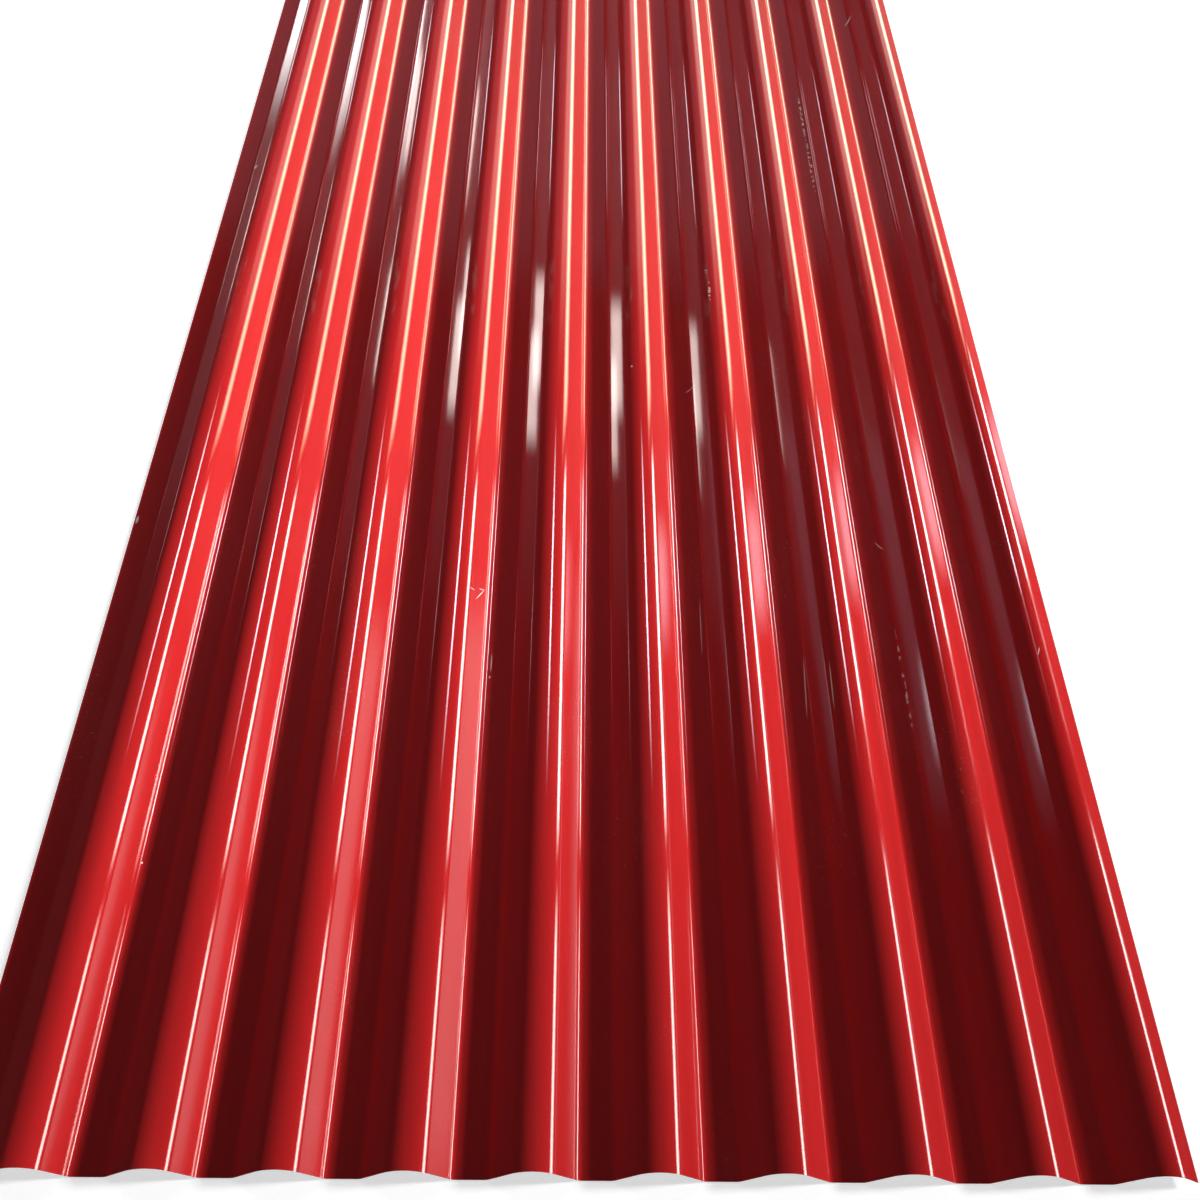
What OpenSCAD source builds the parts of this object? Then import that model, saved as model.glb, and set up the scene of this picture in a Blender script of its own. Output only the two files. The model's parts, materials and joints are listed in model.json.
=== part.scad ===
// Corrugated roofing sheet: one roll-formed sheet of coated steel.
// The corrugations run along Y. The valleys rest on Z = 0, and the origin is under the middle of the sheet.

/* [Sheet] */
// Length along the corrugations
sheet_length = 2000; // [600:50:6000]
// Thickness of the coated steel
sheet_thickness = 0.5; // [0.3:0.05:1.2]

/* [Corrugations] */
// Number of crowns across the sheet
crown_count = 10; // [3:1:16]
// Distance from one crown to the next
corrugation_pitch = 76; // [64:1:130]
// Overall depth, from the underside of a valley to the top of a crown
corrugation_depth = 16; // [10:0.5:20]
// Radius of the round crowns, on the middle of the thickness
crown_radius = 22; // [8:0.5:28]
// Radius of the bend at the foot of each flank, on the middle of the thickness
foot_radius = 7; // [2:0.5:12]
// Width of the flat bottom of each valley
valley_flat = 16; // [4:0.5:22]

/* [Side laps] */
// Width from the middle of the first valley out to the left edge
left_lip = 8; // [2:1:30]
// Width from the middle of the last crown out to the right edge, which turns down
right_lip = 22; // [4:1:36]

/* [Resolution] */
// Straight steps round each crown
crown_steps = 16; // [4:2:24]
// Straight steps round each foot
foot_steps = 6; // [2:1:12]

/* [Hidden] */
paint_red = [0.66, 0.09, 0.10];

half_pitch = corrugation_pitch / 2;
sheet_width = left_lip + half_pitch + (crown_count - 1) * corrugation_pitch + right_lip;
left_edge = -sheet_width / 2;
right_edge = sheet_width / 2;
first_crown = left_edge + left_lip + half_pitch;

// Rise of the middle of the thickness from a valley to a crown
wave_rise = corrugation_depth - sheet_thickness;
// Width from the middle of a crown to where the valley is flat
crown_to_flat = half_pitch - valley_flat / 2;

// Slope of the flank, which is tangent to the crown above it and to the bend at its foot
both_radii = crown_radius + foot_radius;
centres_rise = both_radii - wave_rise;
flank_slope = asin(both_radii / norm([crown_to_flat, centres_rise])) - atan2(centres_rise, crown_to_flat);
// Where the straight flank starts and ends, out from the middle of the crown
flank_start = crown_radius * sin(flank_slope);
flank_end = crown_to_flat - foot_radius * sin(flank_slope);

function nearest_crown(x) = first_crown + corrugation_pitch * round((x - first_crown) / corrugation_pitch);

// Angle that the sheet has turned down at a distance out from the middle of a crown
function turn_at(out) =
    out < flank_start ? asin(out / crown_radius)
    : out < flank_end ? flank_slope
    : out < crown_to_flat ? asin((crown_to_flat - out) / foot_radius)
    : 0;

// Drop of the middle of the thickness below the crown, at that distance
function drop_at(out) =
    let (turn = turn_at(out))
    out < flank_start ? crown_radius * (1 - cos(turn))
    : out < flank_end ? crown_radius * (1 - cos(turn)) + (out - flank_start) * tan(turn)
    : wave_rise - foot_radius * (1 - cos(turn));

// Point on the upper face (side 1) or the lower face (side -1), square to the middle of the thickness
function face_point(x, side) =
    let (reach = x - nearest_crown(x), turn = turn_at(abs(reach)))
    let (middle = [x, corrugation_depth - sheet_thickness / 2 - drop_at(abs(reach))])
    middle + side * sheet_thickness / 2 * [sign(reach) * sin(turn), cos(turn)];

// Distances out from the middle of a crown at which the outline turns
crown_turns = [
    for (step = [1 : crown_steps / 2])
        crown_radius * sin(flank_slope * step * 2 / crown_steps)
];
foot_turns = [
    for (step = [foot_steps : -1 : 0])
        crown_to_flat - foot_radius * sin(flank_slope * step / foot_steps)
];
half_wave = concat(crown_turns, foot_turns);
half_count = len(half_wave);
whole_wave = concat([for (i = [1 : half_count]) -half_wave[half_count - i]], 0, half_wave);

// Places across the sheet where the outline turns, from edge to edge
shortest_step = sheet_thickness / 10;
stations = concat(
    left_edge,
    [
        for (crown = [-1 : crown_count])
            for (turn = whole_wave)
                let (x = first_crown + crown * corrugation_pitch + turn)
                if (x > left_edge + shortest_step && x < right_edge - shortest_step) x
    ],
    right_edge
);

module sheet_section() {
    upper_face = [for (x = stations) face_point(x, 1)];
    lower_face = [for (i = [len(stations) - 1 : -1 : 0]) face_point(stations[i], -1)];
    polygon(concat(upper_face, lower_face));
}

module corrugated_sheet() {
    color(paint_red)
        rotate([90, 0, 0])
            linear_extrude(height = sheet_length, center = true)
                sheet_section();
}

corrugated_sheet();
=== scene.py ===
import json
import math

import bmesh
import bpy
from mathutils import Matrix, Vector, noise


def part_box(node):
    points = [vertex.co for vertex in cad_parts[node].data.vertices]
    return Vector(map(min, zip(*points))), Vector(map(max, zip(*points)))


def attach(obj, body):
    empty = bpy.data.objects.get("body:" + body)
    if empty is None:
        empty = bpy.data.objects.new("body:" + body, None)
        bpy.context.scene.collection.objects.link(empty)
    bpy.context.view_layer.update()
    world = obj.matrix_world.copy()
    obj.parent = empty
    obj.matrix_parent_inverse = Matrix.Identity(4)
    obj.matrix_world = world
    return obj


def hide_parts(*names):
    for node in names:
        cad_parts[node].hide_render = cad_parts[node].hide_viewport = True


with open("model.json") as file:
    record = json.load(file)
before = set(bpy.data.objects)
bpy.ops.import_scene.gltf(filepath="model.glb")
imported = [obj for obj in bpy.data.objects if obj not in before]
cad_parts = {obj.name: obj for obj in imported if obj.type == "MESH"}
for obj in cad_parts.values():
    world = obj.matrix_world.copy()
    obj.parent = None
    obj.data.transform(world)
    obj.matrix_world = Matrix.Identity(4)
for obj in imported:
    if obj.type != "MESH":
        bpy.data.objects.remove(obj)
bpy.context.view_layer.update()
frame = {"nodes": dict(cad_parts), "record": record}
print("frame loaded:", ", ".join(frame["nodes"]))


# Shader maths: a wire is a socket that takes part in Python expressions
class Wire:
    def __init__(self, finish, socket):
        self.finish = finish
        self.socket = socket

    def math(self, operation, first, second=0.0):
        return self.finish.node("Math", {"operation": operation}, {0: first, 1: second})

    def __add__(self, other):
        return self.math("ADD", self, other)

    def __sub__(self, other):
        return self.math("SUBTRACT", self, other)

    def __rsub__(self, other):
        return self.math("SUBTRACT", other, self)

    def __mul__(self, other):
        return self.math("MULTIPLY", self, other)

    def __truediv__(self, other):
        return self.math("DIVIDE", self, other)

    def __rtruediv__(self, other):
        return self.math("DIVIDE", other, self)

    def __abs__(self):
        return self.math("ABSOLUTE", self)

    def atLeast(self, other):
        return self.math("MAXIMUM", self, other)

    def atMost(self, other):
        return self.math("MINIMUM", self, other)

    __radd__ = __add__
    __rmul__ = __mul__


# The nodes of a material, a lamp or the room
class Finish:
    def __init__(self, owner):
        self.owner = owner
        owner.use_nodes = True
        self.tree = owner.node_tree
        self.tree.nodes.clear()

    # any node: its type, its settings, then the values or wires of its sockets
    def node(self, kind, settings=None, sockets=None, out=0):
        made = self.tree.nodes.new("ShaderNode" + kind)
        for name, value in (settings or {}).items():
            setattr(made, name, value)
        for key, value in (sockets or {}).items():
            if isinstance(value, Wire):
                self.tree.links.new(value.socket, made.inputs[key])
            else:
                made.inputs[key].default_value = value
        return Wire(self, made.outputs[out]) if made.outputs else None

    def place(self):
        coords = self.node("TexCoord", out="Object")
        return [self.node("SeparateXYZ", sockets={0: coords}, out=axis) for axis in range(3)]

    def point(self, x, y, z):
        return self.node("CombineXYZ", sockets={0: x, 1: y, 2: z})

    def grain(self, where, scale, detail):
        return self.node("TexNoise", sockets={"Vector": where, "Scale": scale, "Detail": detail})

    # noise that is drawn out, with a scale for each axis
    def streaks(self, place, scales, detail):
        where = self.point(*[axis * scale for axis, scale in zip(place, scales)])
        return self.grain(where, 1.0, detail)

    # 0 up to low, 1 from high on, smooth between; low may also be the greater of the two
    def step(self, value, low, high):
        sockets = {"Value": value, "From Min": low, "From Max": high}
        return self.node("MapRange", {"interpolation_type": "SMOOTHSTEP"}, sockets)

    # sockets 6 and 7 are the Mix node's colours, and 2 is its colour output
    def blend(self, share, under, over):
        settings = {"data_type": "RGBA", "clamp_factor": True}
        return self.node("Mix", settings, {0: share, 6: under, 7: over}, out=2)

    def bump(self, height):
        return self.node("Bump", sockets={"Height": height, "Distance": 1.0, "Strength": 1.0})

    def shader(self, kind, sockets, output="OutputMaterial"):
        made = self.node(kind, sockets=sockets)
        self.node(output, sockets={"Surface": made})
        return self.owner


def newFinish(name):
    return Finish(bpy.data.materials.new(name))


# The sheet: its section is traced with bends, flanks and flats, then drawn out along Y
sheet = dict(
    crownRadius=0.022,   # on the middle of the thickness
    footRadius=0.007,    # bend at the foot of a flank
    valleyFlat=0.016,
    crownSteps=16,       # faces round a whole crown
    footSteps=6,
    flankSteps=4,
    flatSteps=4,
    rows=100,            # faces along the length
    waviness=0.00012,    # how far the flanks wander from true
    wanderAcross=24.0,   # waves of that wander per metre
    wanderAlong=3.5,
    sharpAngle=40.0,     # degrees, past which an edge stays crisp
    edgeTilt=0.7,        # upright share of a normal, under which a face is part of the cut edge
    sideLean=12.0,       # degrees that the sag between the edges leans the light on each side
    driftLean=0.6,       # degrees that the lean drifts from place to place
    driftAcross=7.0,     # waves of that drift per metre
    driftAlong=1.8,
    flankRound=0.6,      # degrees that a left flank rounds over, and a right one hollows, to each side
)

low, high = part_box("corrugated_sheet")
mounts = {mount["name"]: mount["pos_m"] for mount in frame["record"]["mounts"]}
hollows = [o for o in frame["record"]["physics"]["openings"] if o["name"].startswith("crown_hollow")]
crowns = len(hollows)
firstCrown = mounts["left_lap"][0]
lastCrown = mounts["right_lap"][0]
pitch = (lastCrown - firstCrown) / (crowns - 1)
depth = high.z - low.z
thickness = high.z - mounts["right_lap"][2]
length = high.y - low.y

# the flank is tangent to the crown above it and to the bend at its foot
crownRadius, footRadius = sheet["crownRadius"], sheet["footRadius"]
bothRadii = crownRadius + footRadius
crownToFlat = (pitch - sheet["valleyFlat"]) / 2
centresRise = bothRadii - (depth - thickness)
slope = math.asin(bothRadii / math.hypot(crownToFlat, centresRise)) - math.atan2(centresRise, crownToFlat)
flankRun = crownToFlat - bothRadii * math.sin(slope)
crownHeart = high.z - thickness / 2 - crownRadius
footHeart = low.z + thickness / 2 + footRadius


def traceSection(mesh):
    def bend(vert, x, z, angle, steps):
        turned = bmesh.ops.spin(mesh, geom=[vert], cent=(x, low.y, z), axis=(0, 1, 0),
                                angle=angle, steps=steps)
        return turned["geom_last"][0]

    def straight(vert, run, rise, steps):
        for _ in range(steps):
            vert = bmesh.ops.extrude_vert_indiv(mesh, verts=[vert])["verts"][0]
            bmesh.ops.translate(mesh, verts=[vert], vec=(run / steps, 0, rise / steps))
        return vert

    # the upper face, from the left edge, which lies in the flat of the first valley
    vert = mesh.verts.new((low.x, low.y, low.z + thickness))
    for number in range(crowns):
        crown = firstCrown + number * pitch
        vert = straight(vert, crown - crownToFlat - vert.co.x, 0, sheet["flatSteps"])
        vert = bend(vert, crown - crownToFlat, footHeart, -slope, sheet["footSteps"])
        vert = straight(vert, flankRun, flankRun * math.tan(slope), sheet["flankSteps"])
        vert = bend(vert, crown, crownHeart, 2 * slope, sheet["crownSteps"])
        last = number == crowns - 1
        run = high.x - vert.co.x if last else flankRun      # the right edge cuts the last flank short
        vert = straight(vert, run, -run * math.tan(slope), sheet["flankSteps"])
        if not last:
            vert = bend(vert, crown + crownToFlat, footHeart, -slope, sheet["footSteps"])


# the turn of a face's normal at a place across the sheet, in radians to the right;
# the face lies lift above the middle of the thickness
def tiltAt(x, lift):
    out = x - firstCrown - pitch * round((x - firstCrown) / pitch)
    reach = abs(out)
    crownBend, footBend = crownRadius + lift, footRadius - lift
    flankStart = crownBend * math.sin(slope)
    rounding = math.copysign(math.radians(sheet["flankRound"]), -out)
    if reach < flankStart:
        tilt = math.asin(reach / crownBend) * (1 - rounding / slope)
    elif reach < flankStart + flankRun:
        tilt = slope + rounding * (2 * (reach - flankStart) / flankRun - 1)
    else:
        tilt = math.asin(max(0.0, crownToFlat - reach) / footBend) * (1 + rounding / slope)
    return math.copysign(tilt, out)


def makeSheet():
    mesh = bmesh.new()
    traceSection(mesh)
    section = mesh.verts[:] + mesh.edges[:]
    bmesh.ops.spin(mesh, geom=section, cent=(0, 0, 0), axis=(0, 1, 0), angle=0,
                   dvec=(0, length / sheet["rows"], 0), steps=sheet["rows"])
    bmesh.ops.recalc_face_normals(mesh, faces=mesh.faces[:])
    if sum(face.normal.z for face in mesh.faces) < 0:
        bmesh.ops.reverse_faces(mesh, faces=mesh.faces[:])

    # the flanks wander a little, and the crowns and valleys keep their height
    for vert in mesh.verts:
        share = (vert.co.z - low.z) / depth
        where = Vector((vert.co.x * sheet["wanderAcross"], vert.co.y * sheet["wanderAlong"], 0))
        vert.co.z += sheet["waviness"] * 4 * share * (1 - share) * noise.noise(where)
    mesh.normal_update()
    bmesh.ops.solidify(mesh, geom=mesh.faces[:], thickness=thickness)
    for vert in mesh.verts:
        vert.co.z = min(max(vert.co.z, low.z), high.z)

    # 0 is the paint on top, 1 the backing coat below and 2 the bare steel at the cuts
    for face in mesh.faces:
        face.smooth = True
        upright = face.normal.z
        face.material_index = 2 if abs(upright) < sheet["edgeTilt"] else 0 if upright > 0 else 1
    data = bpy.data.meshes.new("corrugatedSheet")
    mesh.to_mesh(data)
    mesh.free()
    data.set_sharp_from_angle(angle=math.radians(sheet["sharpAngle"]))

    # the sheet sags a little across its width and its flanks are a little round,
    # which shows only in how they take the light
    normals = [normal.vector.copy() for normal in data.corner_normals]
    for face in data.polygons:
        if face.material_index < 2:
            side = 1 - 2 * face.material_index
            for corner in face.loop_indices:
                x, y, _ = data.vertices[data.loops[corner].vertex_index].co
                drift = noise.noise(Vector((x * sheet["driftAcross"], y * sheet["driftAlong"], 0)))
                lean = sheet["sideLean"] * x / high.x + sheet["driftLean"] * drift
                tilt = tiltAt(x, side * thickness / 2) - math.radians(lean)
                normals[corner] = side * Vector((math.sin(tilt), 0, math.cos(tilt)))
    data.normals_split_custom_set(normals)

    piece = bpy.data.objects.new("corrugatedSheet", data)
    bpy.context.scene.collection.objects.link(piece)
    return piece


# Gloss red paint on the weather side
paint = dict(
    red=(0.54, 0.017, 0.018, 1),
    deepRed=(0.48, 0.014, 0.015, 1),
    streakScales=(60, 1.5, 60),    # of the noise that mixes the two reds, drawn out along the sheet
    streakStep=(0.35, 0.7),        # noise at which deep red ends, and at which red starts
    haze=0.35,                     # roughness under the clear top layer
    sheen=0.03,                    # how much the paint under that layer shines
    gloss=0.045,                   # roughness of the clear top layer
    peel=0.000004,                 # height of the ripple in the paint
    peelScale=700.0,
    # pale colour of the dust, also taken by the painted light on the crowns' left shoulders
    dust=(0.62, 0.34, 0.30, 1),
    dustShare=0.30,
    patchScales=(14, 5, 14),       # loose patches of dust
    patchStep=(0.52, 0.72),
    grainScale=420.0,              # single grains in a patch
    grainStep=(0.66, 0.74),
    grainShare=0.8,
    veilShare=0.06,                # faint veil between the grains
    scuff=(0.90, 0.78, 0.74, 1),
    scuffHaze=0.6,
    scuffEdge=(1.3, 0.7),          # where a scuff starts and is full, in half widths from its middle
    scuffDull=0.8,                 # share of the clear layer that a scuff takes off
    dotScale=170.0,                # dots of a scuff that is broken up
    dotStep=(0.47, 0.55),
)

# Scratches, chips and thin pale lines: middle across and along, half width, half length, turn in degrees
# anticlockwise from the length of the sheet, and whether it is broken up into dots
scuffs = [
    dict(at=(-0.3547, 0.060), size=(0.0015, 0.0030)),
    dict(at=(-0.3738, -0.462), size=(0.0010, 0.0040)),
    dict(at=(-0.0815, -0.543), size=(0.00025, 0.0070), turn=-24),
    dict(at=(-0.0805, -0.537), size=(0.0003, 0.0020), turn=-75),
    dict(at=(-0.0878, -0.541), size=(0.0003, 0.0018), turn=80),
    dict(at=(-0.0697, -0.608), size=(0.0004, 0.0080)),
    dict(at=(-0.0702, -0.622), size=(0.0006, 0.0012)),
    dict(at=(0.2474, 0.190), size=(0.0012, 0.045), broken=True),
    dict(at=(0.2482, 0.090), size=(0.0016, 0.045), broken=True),
    dict(at=(0.2513, -0.620), size=(0.0007, 0.045), broken=True),
    dict(at=(0.3261, 0.411), size=(0.0008, 0.0100), turn=-25),
    dict(at=(0.1207, -0.122), size=(0.0012, 0.0050), broken=True),
    dict(at=(0.1223, -0.155), size=(0.0012, 0.0140), broken=True),
    dict(at=(0.2501, -0.478), size=(0.0004, 0.0050), turn=30),
    dict(at=(0.3571, -0.600), size=(0.0004, 0.0040), turn=-20),
    dict(at=(-0.3027, -0.788), size=(0.0006, 0.0008)),
    dict(at=(0.0988, -0.285), size=(0.0004, 0.0050), turn=-50),
    dict(at=(0.0445, -0.270), size=(0.0008, 0.0012)),
    # thin pale lines along the left flanks of the seventh and eighth crowns
    dict(at=(0.1737, -0.627), size=(0.00035, 0.026), turn=-2.6),
    dict(at=(0.1916, -0.634), size=(0.00035, 0.020), turn=-1.1),
    dict(at=(0.0956, -0.568), size=(0.00025, 0.026), turn=-0.7),
]

# Painted light: a pale patchy band on the left shoulder of each crown, in a row across the sheet, where these
# shoulders look lit
paintedShoulderLight = dict(
    near=-0.215,
    far=-0.105,
    across=-0.0065,     # from the middle of the crown
    halfWidth=0.0045,
    share=0.16,
    patchScales=(160, 30, 0),
    patchStep=(0.45, 0.62),
    softAcross=0.6,     # share of the half width, and of the half length, over which it fades
    softAlong=0.4,
)

# Painted shade on the shine: strips that take the clear layer off the right-hand side, towards the near end,
# where the highlights
# break off: one at the foot of the flanks, and one over the crowns, whose far end slants. Across is from the
# middle of the crown, slant is how far the end moves along for each metre to the right, and fade is how long
# it takes to set in
shadedShineStrips = [
    dict(across=0.0268, halfWidth=0.0034, start=0.05, far=-0.50, near=-1.2,
         slant=0.0, fade=0.12, share=0.92),
    dict(across=0.0070, halfWidth=0.0130, start=0.15, far=-0.82, near=-0.765,
         slant=0.92, fade=0.06, share=0.90),
]
shadedShineSides = dict(
    fade=0.06,          # how far to the right of its start a strip of painted shade sets in
    softAcross=0.4,     # share of the half width over which it fades
)


# share of painted shade on the shine, which takes off the clear layer
def shadedShineMask(finish, x, y, wave):
    mask = 0.0
    for shadeStrip in shadedShineStrips:
        band = 1 - abs(wave - shadeStrip["across"]) / shadeStrip["halfWidth"]
        right = finish.step(x, shadeStrip["start"], shadeStrip["start"] + shadedShineSides["fade"])
        far = finish.step(y - x * shadeStrip["slant"], shadeStrip["far"], shadeStrip["far"] - shadeStrip["fade"])
        near = finish.step(y, shadeStrip["near"] - shadeStrip["fade"] / 2, shadeStrip["near"] + shadeStrip["fade"] / 2)
        share = finish.step(band, 0.0, shadedShineSides["softAcross"]) * right * far * near * shadeStrip["share"]
        mask = share.atLeast(mask)
    return mask


def scuffMask(finish, here):
    dots = finish.step(finish.grain(here, paint["dotScale"], detail=2.0), *paint["dotStep"])
    mask = 0.0
    for scuff in scuffs:
        across, along = scuff["at"]
        halfWidth, halfLength = scuff["size"]
        local = finish.node("Mapping", {"vector_type": "TEXTURE"}, {
            "Vector": here,
            "Location": (across, along, 0),
            "Rotation": (0, 0, math.radians(scuff.get("turn", 0))),
            "Scale": (halfWidth, halfLength, 1),
        })
        reach = finish.node("VectorMath", {"operation": "LENGTH"}, {0: local}, out="Value")
        spot = finish.step(reach, *paint["scuffEdge"])
        mask = (spot * dots if scuff.get("broken") else spot).atLeast(mask)
    return mask


# share of the painted light on the left shoulder of each crown
def paintedShoulderLightMask(finish, place, wave):
    band = 1 - abs(wave - paintedShoulderLight["across"]) / paintedShoulderLight["halfWidth"]
    middle = (paintedShoulderLight["near"] + paintedShoulderLight["far"]) / 2
    halfLength = (paintedShoulderLight["far"] - paintedShoulderLight["near"]) / 2
    reach = 1 - abs(place[1] - middle) / halfLength
    patchy = finish.step(finish.streaks(place, paintedShoulderLight["patchScales"], detail=3.0), *paintedShoulderLight["patchStep"])
    across = finish.step(band, 0.0, paintedShoulderLight["softAcross"])
    along = finish.step(reach, 0.0, paintedShoulderLight["softAlong"])
    return across * along * patchy


def redPaint():
    finish = newFinish("redPaint")
    place = finish.place()
    x, y, _ = place
    here = finish.point(*place)
    streaks = finish.streaks(place, paint["streakScales"], detail=3.0)
    colour = finish.blend(finish.step(streaks, *paint["streakStep"]), paint["deepRed"], paint["red"])

    # dust lies in loose patches, as single grains over a faint veil
    patches = finish.step(finish.streaks(place, paint["patchScales"], detail=4.0), *paint["patchStep"])
    grains = finish.step(finish.grain(here, paint["grainScale"], detail=1.0), *paint["grainStep"])
    dust = patches * (grains * paint["grainShare"] + paint["veilShare"]) * paint["dustShare"]
    colour = finish.blend(dust, colour, paint["dust"])

    # the place across a wave, from the middle of its crown
    wave = finish.node("Math", {"operation": "WRAP"}, {0: x - firstCrown, 1: pitch / 2, 2: -pitch / 2})
    # painted light: a pale band on the left shoulder of each crown, in the colour of the dust
    colour = finish.blend(paintedShoulderLightMask(finish, place, wave) * paintedShoulderLight["share"], colour, paint["dust"])

    scuffed = scuffMask(finish, here)
    colour = finish.blend(scuffed, colour, paint["scuff"])
    ripple = finish.grain(here, paint["peelScale"], detail=1.0)
    return finish.shader("BsdfPrincipled", {
        "Base Color": colour,
        "Roughness": scuffed * (paint["scuffHaze"] - paint["haze"]) + paint["haze"],
        "Specular IOR Level": paint["sheen"],
        # the clear layer comes off at the scuffs, and at the strips of painted shade on the shine
        "Coat Weight": 1 - (scuffed * paint["scuffDull"]).atLeast(shadedShineMask(finish, x, y, wave)),
        "Coat Roughness": paint["gloss"],
        "Normal": finish.bump(ripple * paint["peel"]),
    })


# Pale backing coat on the underside
backing = dict(
    grey=(0.50, 0.51, 0.50, 1),
    dullGrey=(0.40, 0.41, 0.40, 1),
    streakScales=(90, 2, 90),
    streakStep=(0.3, 0.7),
    roughness=0.45,
    swing=0.2,          # how far the roughness ranges in all
)


def backingCoat():
    finish = newFinish("backingCoat")
    streaks = finish.streaks(finish.place(), backing["streakScales"], detail=4.0)
    colour = finish.blend(finish.step(streaks, *backing["streakStep"]), backing["dullGrey"], backing["grey"])
    smoothest = backing["roughness"] - backing["swing"] / 2
    return finish.shader("BsdfPrincipled", {
        "Base Color": colour,
        "Roughness": finish.step(streaks, 0.0, 1.0) * backing["swing"] + smoothest,
    })


# Bare zinc-coated steel where the sheet was sheared
cutEdge = dict(
    steel=(0.56, 0.56, 0.57, 1),
    burr=(0.30, 0.24, 0.23, 1),
    tearScale=900.0,
    tearStep=(0.4, 0.65),
    metallic=0.9,
    roughness=0.38,
    swing=0.3,          # how far the roughness ranges in all
)


def shearedSteel():
    finish = newFinish("shearedSteel")
    tear = finish.grain(finish.point(*finish.place()), cutEdge["tearScale"], detail=3.0)
    colour = finish.blend(finish.step(tear, *cutEdge["tearStep"]), cutEdge["steel"], cutEdge["burr"])
    smoothest = cutEdge["roughness"] - cutEdge["swing"] / 2
    return finish.shader("BsdfPrincipled", {
        "Base Color": colour,
        "Metallic": cutEdge["metallic"],
        "Roughness": tear * cutEdge["swing"] + smoothest,
    })


piece = makeSheet()
for material in (redPaint(), backingCoat(), shearedSteel()):
    piece.data.materials.append(material)
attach(piece, "root")
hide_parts("corrugated_sheet")
print("sheet made:", len(piece.data.polygons), "faces")


# 1 for rays that show the stage to the camera, straight or in a shiny surface
def seenRays(finish):
    kinds = ("Is Camera Ray", "Is Glossy Ray", "Is Transmission Ray")
    camera, glossy, transmission = [finish.node("LightPath", out=kind) for kind in kinds]
    return camera.atLeast(glossy).atLeast(transmission)


# Pale floor
floor = dict(
    size=160.0,
    colour=(0.8, 0.8, 0.8, 1),
    roughness=0.9,
    glow=0.62,          # for the rays that show it, so that it stays pale
    gap=0.0004,         # under the sheet
)


def paleFloor():
    finish = newFinish("paleFloor")
    seen = seenRays(finish) * floor["glow"]
    return finish.shader("BsdfPrincipled", {
        "Base Color": floor["colour"],
        "Roughness": floor["roughness"],
        "Emission Color": finish.node("CombineColor", sockets={0: seen, 1: seen, 2: seen}),
        "Emission Strength": 1.0,
    })


def makeFloor():
    mesh = bmesh.new()
    bmesh.ops.create_grid(mesh, x_segments=1, y_segments=1, size=floor["size"] / 2)
    bmesh.ops.translate(mesh, verts=mesh.verts[:], vec=(0, 0, low.z - floor["gap"]))
    data = bpy.data.meshes.new("floor")
    mesh.to_mesh(data)
    mesh.free()
    data.materials.append(paleFloor())
    made = bpy.data.objects.new("floor", data)
    bpy.context.scene.collection.objects.link(made)


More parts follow.
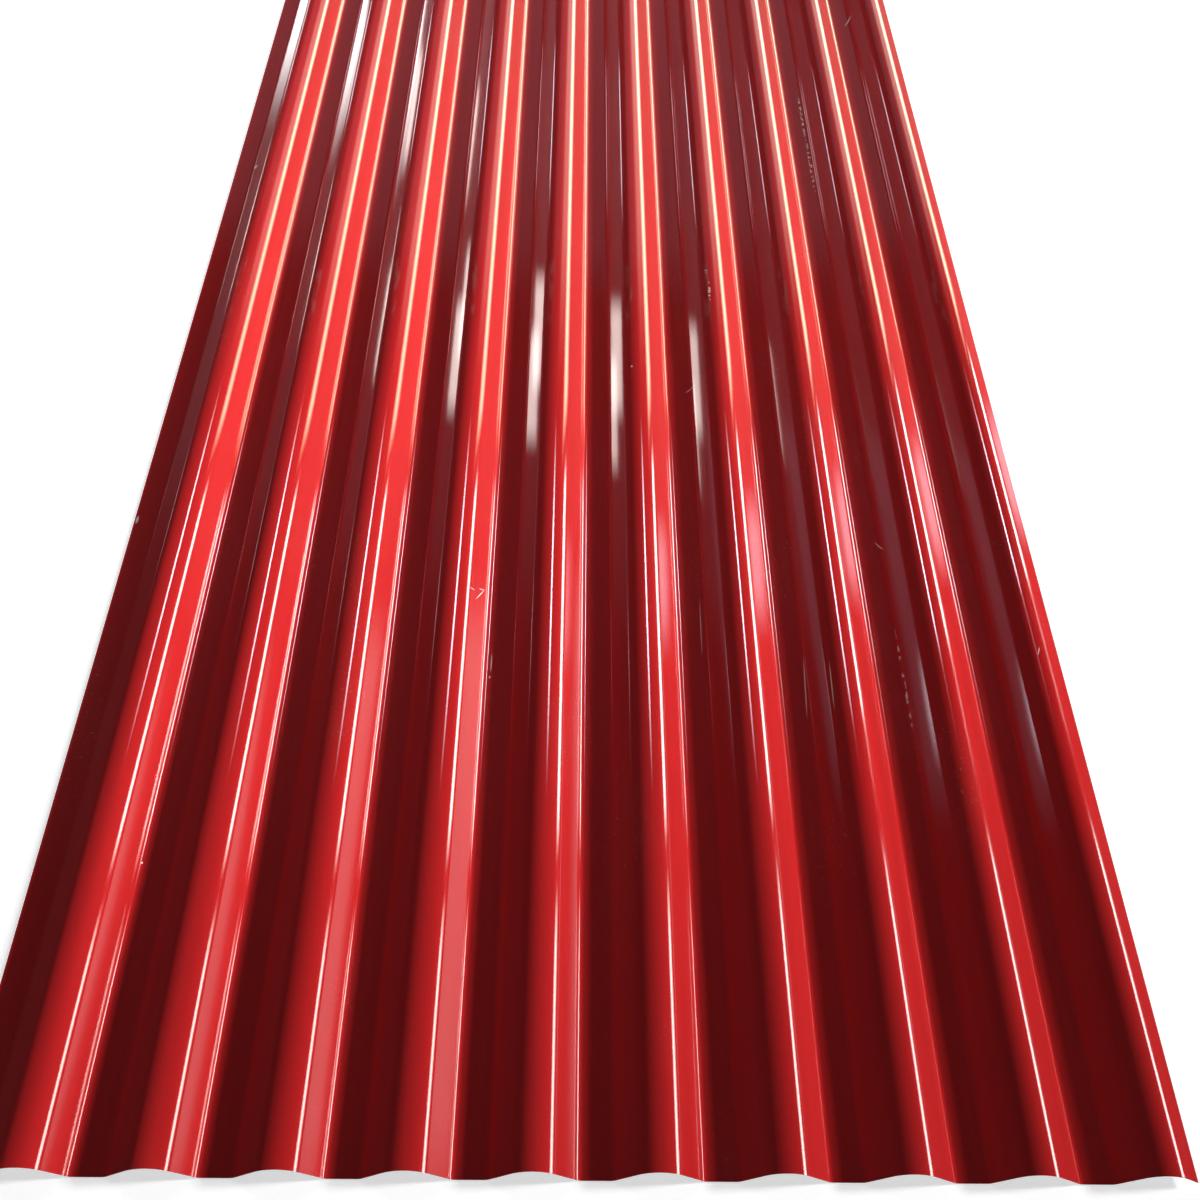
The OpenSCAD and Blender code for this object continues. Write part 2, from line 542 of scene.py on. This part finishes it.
# Lamps, which all run along the sheet: centre, direction faced, length and width, how bright it looks,
# colour, the share of its length and of its width that fades out, and the spread of its beam in degrees
# if narrow. The soft boxes give only light, and the panels only shine
plain, pale, warm, cool = (1, 1, 1), (1, 0.97, 0.92), (1, 0.90, 0.78), (0.93, 0.88, 1)
blush = (1, 0.88, 0.83)
fromRight, fromLeft, fromAbove = (-1, 0, -0.4), (1, 0, -0.3), (0, 0, -1)
softBoxes = dict(
    sideKey=dict(at=(6.0, -0.14, 2.28), facing=(-1, 0, -0.325), size=(1.2, 0.56), bright=17.9, colour=plain,
                 soft=(0.5, 0.3), spread=31.3),
    softFill=dict(at=(-0.45, 0.60, 1.4), facing=fromAbove, size=(1.4, 1.2), bright=2.55, colour=plain,
                  soft=(0.5, 0.5)),
)
panels = dict(
    nearTube=dict(at=(2.0, -0.4, 1.16), facing=fromRight, size=(1.8, 0.60), bright=24.0, colour=pale,
                  soft=(0.25, 1.0)),
    middleTube=dict(at=(2.0, 1.28, 1.16), facing=fromRight, size=(1.5, 0.66), bright=34.0, colour=pale,
                    soft=(0.3, 1.0)),
    farTube=dict(at=(2.0, 4.2, 1.40), facing=fromRight, size=(4.0, 1.40), bright=14.0, colour=(1, 0.86, 0.60),
                 soft=(0.14, 1.0)),
    farGlow=dict(at=(1.4, 5.0, 2.2), facing=(-0.65, 0, -0.76), size=(4.6, 2.4), bright=1.8, colour=warm,
                 soft=(0.5, 0.8)),
    overhead=dict(at=(0.75, 2.98, 4.0), facing=fromAbove, size=(2.3, 0.60), bright=34.0, colour=cool,
                  soft=(0.9, 0.8)),
    farCeiling=dict(at=(0.2, 5.9, 3.0), facing=fromAbove, size=(4.6, 3.6), bright=0.22, colour=cool,
                    soft=(0.3, 0.3)),
    leftWall=dict(at=(-2.6, 3.9, 0.75), facing=fromLeft, size=(4.8, 1.1), bright=0.11, colour=cool,
                  soft=(0.2, 0.3)),
    lowWindow=dict(at=(-1.2, 1.085, 0.3265), facing=fromLeft, size=(0.46, 0.055), bright=7.4, colour=blush,
                   soft=(0.5, 0.15)),
    highWindow=dict(at=(-1.2, 1.28, 0.353), facing=fromLeft, size=(0.50, 0.055), bright=7.4, colour=blush,
                    soft=(0.5, 0.15)),
    leftDoor=dict(at=(-1.0, 1.90, 0.175), facing=fromLeft, size=(1.6, 0.095), bright=9.5, colour=plain,
                  soft=(0.8, 0.35)),
    leftPane=dict(at=(-1.0, 1.56, 0.229), facing=fromLeft, size=(0.62, 0.024), bright=7.0, colour=blush,
                  soft=(0.6, 0.6)),
    leftStrip=dict(at=(-2.5, 4.9, 1.44), facing=fromLeft, size=(1.6, 0.30), bright=9.0, colour=cool,
                   soft=(0.6, 0.6)),
    nearWall=dict(at=(-1.2, 0.7, 0.44), facing=fromLeft, size=(1.2, 0.10), bright=0.36, colour=(0.90, 0.75, 1),
                  soft=(0.3, 0.5)),
    nearWindow=dict(at=(-1.2, 0.42, 0.46), facing=fromLeft, size=(0.36, 0.04), bright=5.0, colour=cool,
                    soft=(0.9, 0.7)),
    rightWall=dict(at=(2.0, 3.7, 0.48), facing=fromRight, size=(5.2, 0.50), bright=0.2, colour=warm,
                   soft=(0.2, 0.4)),
    rightWindow=dict(at=(2.0, 1.20, 0.452), facing=fromRight, size=(0.6, 0.11), bright=4.0, colour=cool,
                     soft=(0.8, 0.8)),
    backRight=dict(at=(2.4, -4.1, 1.7), facing=fromRight, size=(6.0, 0.9), bright=10.0, colour=pale,
                   soft=(0.1, 1.0)),
    backLeft=dict(at=(-2.4, -4.1, 1.7), facing=fromLeft, size=(6.0, 0.9), bright=10.0, colour=pale,
                  soft=(0.1, 1.0)),
    backCeiling=dict(at=(0.0, -5.2, 2.6), facing=fromAbove, size=(8.0, 2.4), bright=0.6, colour=plain,
                     soft=(0.6, 0.8)),
    lowSheen=dict(at=(0.9, -0.2, 0.2625), facing=fromRight, size=(1.2, 0.055), bright=1.7, colour=plain,
                  soft=(0.4, 0.4)),
)


# 1 in the middle, 0 at the edges; place runs from 0 to 1 each way
def fadeEdges(finish, place, soft):
    share = 1.0
    for axis in range(2):
        share = finish.step(place[axis].atMost(1 - place[axis]) * 2, 0.0, soft[axis]) * share
    return share


def lampPlace(lamp):
    side = Vector((0, 1, 0))
    up = side.cross(lamp["facing"]).normalized()
    turn = Matrix((side, up, side.cross(up))).transposed().to_4x4()
    return Matrix.Translation(lamp["at"]) @ turn


def makeLamp(name, lamp):
    data = bpy.data.lights.new(name, "AREA")
    data.shape = "RECTANGLE"
    data.size, data.size_y = lamp["size"]
    data.energy = lamp["bright"] * math.pi * data.size * data.size_y
    data.color = lamp["colour"]
    data.spread = math.radians(lamp.get("spread", 180))
    glow = Finish(data)
    across = glow.node("NewGeometry", out="Parametric")
    place = [glow.node("SeparateXYZ", sockets={0: across}, out=axis) for axis in range(2)]
    share = fadeEdges(glow, place, lamp["soft"])
    glow.shader("Emission", {"Color": (1, 1, 1, 1), "Strength": share}, "OutputLight")
    made = bpy.data.objects.new(name, data)
    made.matrix_world = lampPlace(lamp)
    made.visible_camera = made.visible_glossy = False
    bpy.context.scene.collection.objects.link(made)


# a panel glows on the side that a lamp would, is clear, and is found by shiny surfaces alone
def makePanel(name, lamp):
    mesh = bmesh.new()
    stretch = Matrix.Diagonal((*lamp["size"], 1, 1))
    bmesh.ops.create_grid(mesh, x_segments=1, y_segments=1, size=0.5, matrix=stretch)
    data = bpy.data.meshes.new(name)
    mesh.to_mesh(data)
    mesh.free()
    glow = newFinish(name)
    x, y, _ = glow.place()
    place = [x / lamp["size"][0] + 0.5, y / lamp["size"][1] + 0.5]
    share = fadeEdges(glow, place, lamp["soft"]) * glow.node("NewGeometry", out="Backfacing")
    colour = glow.blend(share, (0, 0, 0, 1), (*lamp["colour"], 1))
    light = glow.node("Emission", sockets={"Color": colour, "Strength": lamp["bright"]})
    material = glow.shader("AddShader", {0: light, 1: glow.node("BsdfTransparent")})
    material.cycles.emission_sampling = "NONE"
    data.materials.append(material)
    made = bpy.data.objects.new(name, data)
    made.matrix_world = lampPlace(lamp)
    made.visible_camera = made.visible_diffuse = made.visible_shadow = False
    bpy.context.scene.collection.objects.link(made)


# The room: dark overhead, and pale round the horizon, which gives no light of its own;
# the pale band is lower past the far end, where the flanks would mirror it
room = dict(
    dark=(0.05, 0.045, 0.05, 1),
    pale=(0.80, 0.80, 0.80, 1),
    paleUpTo=7.0,       # degrees above the horizon
    darkFrom=10.0,
    farDrop=4.5,        # degrees
    farFrom=(0.45, 0.60),    # where the band starts and ends its drop, with 1 straight ahead
)


def makeRoom():
    world = bpy.data.worlds.new("room")
    sky = Finish(world)
    direction = sky.node("TexCoord", out="Generated")
    ahead, rise = [sky.node("SeparateXYZ", sockets={0: direction}, out=axis) for axis in (1, 2)]
    heights = [room["paleUpTo"], room["darkFrom"], room["farDrop"]]
    paleEnd, darkStart, drop = [math.sin(math.radians(height)) for height in heights]
    rise = rise + sky.step(ahead, *room["farFrom"]) * drop
    horizon = sky.step(rise, darkStart, paleEnd) * seenRays(sky)
    sky.shader("Background", {"Color": sky.blend(horizon, room["dark"], room["pale"])}, "OutputWorld")
    bpy.context.scene.world = world


# Camera at the photo's view: above the near end, looking down along the corrugations
view = dict(
    at=(-0.010, -1.286, 0.877),
    lookDown=49.66,     # degrees
    lookRight=1.93,
    roll=2.41,
    lens=42.6,
    sensor=36.0,
)


def makeCamera():
    data = bpy.data.cameras.new("camera")
    data.lens = view["lens"]
    data.sensor_width = view["sensor"]
    made = bpy.data.objects.new("camera", data)
    turn = Matrix.Rotation(-math.radians(view["lookRight"]), 4, "Z")
    tilt = Matrix.Rotation(math.radians(90 - view["lookDown"]), 4, "X")
    roll = Matrix.Rotation(math.radians(view["roll"]), 4, "Z")
    made.matrix_world = Matrix.Translation(view["at"]) @ turn @ tilt @ roll
    bpy.context.scene.collection.objects.link(made)
    bpy.context.scene.camera = made


makeFloor()
for name, lamp in softBoxes.items():
    makeLamp(name, lamp)
for name, lamp in panels.items():
    makePanel(name, lamp)
makeRoom()
makeCamera()
bpy.context.scene.view_settings.view_transform = "Standard"
print("stage set:", len(softBoxes), "soft boxes and", len(panels), "panels")
